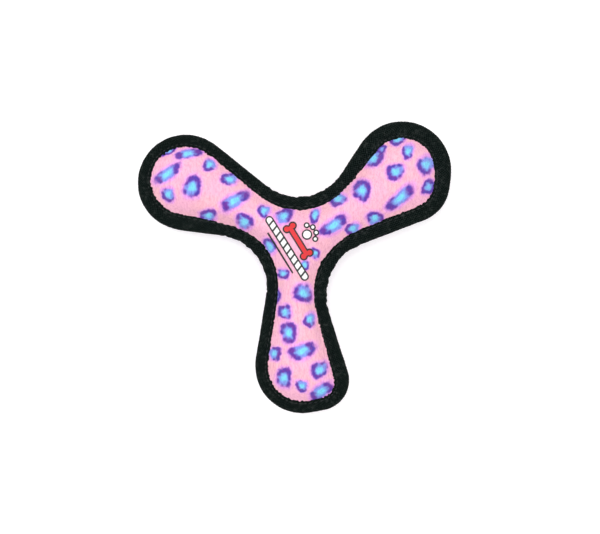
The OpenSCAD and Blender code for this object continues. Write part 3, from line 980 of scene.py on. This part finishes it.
def build_emblem():
    """The grid over the hub, cut, laid down, painted and thickened."""
    deselect()
    low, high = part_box("hub_emblem")
    low, high = low - Vector((1, 1, 0)) * MM, high + Vector((1, 1, 0)) * MM
    across, up = int((high.x - low.x) / INK_CELL), int((high.y - low.y) / INK_CELL)
    bpy.ops.mesh.primitive_grid_add(x_subdivisions=across, y_subdivisions=up, size=1)
    skin = bpy.context.object
    skin.name = "hub_print"
    co = points_of(skin)
    co[:, 0] = (co[:, 0] + 0.5) * (high.x - low.x) + low.x
    co[:, 1] = (co[:, 1] + 0.5) * (high.y - low.y) + low.y
    put_points(skin, co)
    cut_away(skin, np.min(emblem_distances(co[:, :2]), axis=0) > INK_RIM)
    co = points_of(skin)
    draw_in(co)
    lay_on_cloth(co)
    put_points(skin, co)
    stripe, bone_edge, paw_edge = emblem_distances(co[:, :2])
    inner = np.minimum(np.minimum(stripe, bone_edge), paw_edge)
    red = (bone_edge < stripe) & (bone_edge < paw_edge)
    paint(skin, "ink", -inner / MM)
    paint(skin, "red", red.astype(float))
    paint(skin, "bar", bars(co[:, :2]))
    wall = skin.modifiers.new("wall", "SOLIDIFY")
    wall.thickness = INK_THICK
    wall.offset = -1
    apply_all(skin)
    bpy.ops.object.shade_smooth()
    return skin


def draw_in(co):
    """Moves the ragged rim points onto the shapes' true edge."""
    step = 0.05 * MM
    for _ in range(3):
        here = np.min(emblem_distances(co[:, :2]), axis=0)
        slope = np.zeros((len(co), 2))
        for k in (0, 1):
            shift = np.zeros(2)
            shift[k] = step
            slope[:, k] = (np.min(emblem_distances(co[:, :2] + shift), axis=0) - here) / step
        rim = np.abs(here) < INK_RIM
        co[rim, :2] -= slope[rim] * here[rim][:, None]


def lay_on_cloth(co):
    """Raises each point to just above the front cloth, with the pile's slight roughness."""
    for p in co:
        hit = bare_front.ray_cast(Vector((p[0], p[1], 0.1)), Vector((0, 0, -1)))
        p[2] = hit[0].z + INK_RISE
    co[:, 2] += 0.06 * MM * ripple(co, 1 / (0.8 * MM), 21)


def ink_material():
    ink = Finish("emblem_ink", 0.6)
    depth = ink.add("Attribute", attribute_name="ink").outputs["Fac"]
    is_red = ink.add("Attribute", attribute_name="red").outputs["Fac"]
    speck = ink.grain(ink.place(), 1800, 3)
    ragged = ink.maths("ADD", depth, ink.maths("MULTIPLY", ink.maths("SUBTRACT", speck, 0.5), 0.35))
    bar = ink.add("Attribute", attribute_name="bar").outputs["Fac"]
    fill = ink.maths("SUBTRACT", ink.ramp(ragged, 0.8, 1.05), bar, clamp=True)
    white = ink.mix(speck, (0.8, 0.82, 0.8, 1), (0.92, 0.93, 0.92, 1))
    red = ink.mix(speck, (0.55, 0.012, 0.02, 1), (0.8, 0.03, 0.035, 1))
    paint = ink.mix(is_red, white, red)
    colour = ink.mix(fill, (0.012, 0.012, 0.014, 1), paint)
    return ink.finish(colour, normal=ink.relief(speck, 0.0003, 0.6))


emblem = build_emblem()
dress(emblem, ink_material())
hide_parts("hub_emblem")
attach(emblem, BODY)
print("emblem", len(emblem.data.polygons), "faces")

# %% [markdown]
# ## What is inside
#
# The canvas, its coating and the squeakers keep their CAD shapes, which are already right, and get
# the finishes of the real things. The stuffing is loose fibre, so each of its four fills gets a
# finer skin that is pressed in between its tufts, and stays as it is where it holds a squeaker.

# %% Inner materials
CANVAS_PITCH = 0.0011


def canvas_material():
    canvas = Finish("luggage_canvas", 0.8)
    parts = canvas.add("SeparateXYZ", [(0, canvas.place())])
    turns = 2 * math.pi / CANVAS_PITCH
    warp = canvas.maths("SINE", canvas.maths("MULTIPLY", parts.outputs[0], turns))
    weft = canvas.maths("SINE", canvas.maths("MULTIPLY", parts.outputs[1], turns))
    cross = canvas.maths("MULTIPLY", warp, weft)
    worn = canvas.grain(canvas.place(), 300, 3)
    colour = canvas.mix(canvas.ramp(cross, -0.8, 0.9), (0.008, 0.008, 0.01, 1), (0.03, 0.03, 0.034, 1))
    colour = canvas.mix(canvas.maths("MULTIPLY", worn, 0.4), colour, (0.05, 0.05, 0.055, 1))
    return canvas.finish(colour, normal=canvas.relief(cross, 0.0002, 0.7))


def moulded_material(name, pale, deep, roughness):
    plastic = Finish(name, roughness)
    cloud = plastic.grain(plastic.place(), 180, 4, 0.6)
    rough = plastic.add("MapRange", [(0, cloud), (3, roughness - 0.08), (4, roughness + 0.08)]).outputs[0]
    return plastic.finish(plastic.mix(cloud, deep, pale), rough, plastic.relief(cloud, 0.0003, 0.25))


def fibre_material():
    fibre = Finish("loose_fibre", 0.95, Sheen_Weight=0.3)
    threads = fibre.grain(fibre.place(scale=(1, 0.3, 1), turn=(0.3, 0.2, 0.7)), 1200, 4, 0.7)
    clumps = fibre.grain(fibre.place(), 140, 3)
    colour = fibre.mix(threads, (0.6, 0.6, 0.58, 1), (0.88, 0.88, 0.86, 1))
    tufted = fibre.relief(clumps, 0.002, 0.6)
    return fibre.finish(colour, normal=fibre.relief(threads, 0.0006, 0.8, tufted))


STUFFING_CELL = 2.3 * MM
POUCH_NEAR = 0.7 * MM


def split_long_edges(piece, longest):
    """Halves every edge that is longer than that, until a skin of facets is an even net."""
    for _ in range(4):
        co = points_of(piece)
        ends = np.zeros(len(piece.data.edges) * 2, dtype=int)
        piece.data.edges.foreach_get("vertices", ends)
        a, b = ends.reshape(-1, 2).T
        choose(piece.data.edges, "EDGE", np.linalg.norm(co[a] - co[b], axis=1) > longest)
        bpy.ops.mesh.subdivide(number_cuts=1)
        bpy.ops.mesh.select_all(action="SELECT")
        bpy.ops.mesh.quads_convert_to_tris()
        bpy.ops.object.mode_set(mode="OBJECT")


def make_stuffing(node):
    """A copy of the CAD solid with a finer skin, pressed in between its tufts and never out."""
    deselect()
    nodes[node].select_set(True)
    bpy.context.view_layer.objects.active = nodes[node]
    bpy.ops.object.duplicate()
    fill = bpy.context.object
    fill.name = node.replace("stuffing", "fibre_fill")
    bpy.ops.object.mode_set(mode="EDIT")
    bpy.ops.mesh.select_all(action="SELECT")
    bpy.ops.mesh.remove_doubles(threshold=0.05 * MM)
    bpy.ops.object.mode_set(mode="OBJECT")
    split_long_edges(fill, STUFFING_CELL)
    free = np.ones(len(fill.data.vertices))
    pouch = nodes.get(node.replace("stuffing", "squeaker_pouch"))
    if pouch is not None:
        cloth = surface_of(pouch)
        gaps = np.array([cloth.find_nearest(Vector(p))[3] for p in points_of(fill)])
        free = smooth(gaps, POUCH_NEAR, 4 * POUCH_NEAR)
    loose = fill.vertex_groups.new(name="loose")
    for i, w in enumerate(free):
        loose.add([i], float(w), "REPLACE")
    ease = fill.modifiers.new("ease", "SMOOTH")
    ease.factor = 0.5
    ease.iterations = 8
    ease.vertex_group = "loose"
    apply_all(fill)
    fill.vertex_groups.clear()
    co = points_of(fill)
    tufts = ripple(co, 1 / (7 * MM), 41) + 0.6 * ripple(co, 1 / (3.4 * MM), 42)
    pressed = (0.15 + np.clip(0.35 + 0.5 * tufts, 0, 1) * free) * MM
    put_points(fill, co - normals_of(fill) * pressed[:, None])
    bpy.ops.object.shade_smooth()
    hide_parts(node)
    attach(fill, BODY)
    return fill


canvas_cloth = canvas_material()
coating = moulded_material("coating_film", (0.72, 0.75, 0.76, 1), (0.6, 0.63, 0.64, 1), 0.35)
bulb_plastic = moulded_material("bulb_plastic", (0.86, 0.86, 0.8, 1), (0.78, 0.78, 0.72, 1), 0.5)
voice_plastic = moulded_material("voice_plastic", (0.9, 0.9, 0.9, 1), (0.82, 0.82, 0.82, 1), 0.25)
seat_plastic = moulded_material("seat_plastic", (0.7, 0.03, 0.02, 1), (0.58, 0.02, 0.015, 1), 0.3)
reed_plastic = moulded_material("reed_plastic", (0.75, 0.68, 0.3, 1), (0.62, 0.55, 0.22, 1), 0.3)
fibre_fill = fibre_material()
FINISHES = {
    "canvas": canvas_cloth, "film": coating, "pouch": canvas_cloth, "bulb": bulb_plastic,
    "tube": voice_plastic, "seat": seat_plastic, "reed": reed_plastic, "stitches": white_thread,
}
for node in ("hub_stuffing", "right_stuffing", "left_stuffing", "lower_stuffing"):
    fill = make_stuffing(node)
    dress(fill, fibre_fill)
    print(fill.name, len(fill.data.polygons), "faces")
for name, piece in nodes.items():
    if piece.hide_render:
        continue
    last = name.split("_")[-1]
    dress(piece, FINISHES[last])
print("inner pieces dressed:", sum(not p.hide_render for p in nodes.values()))
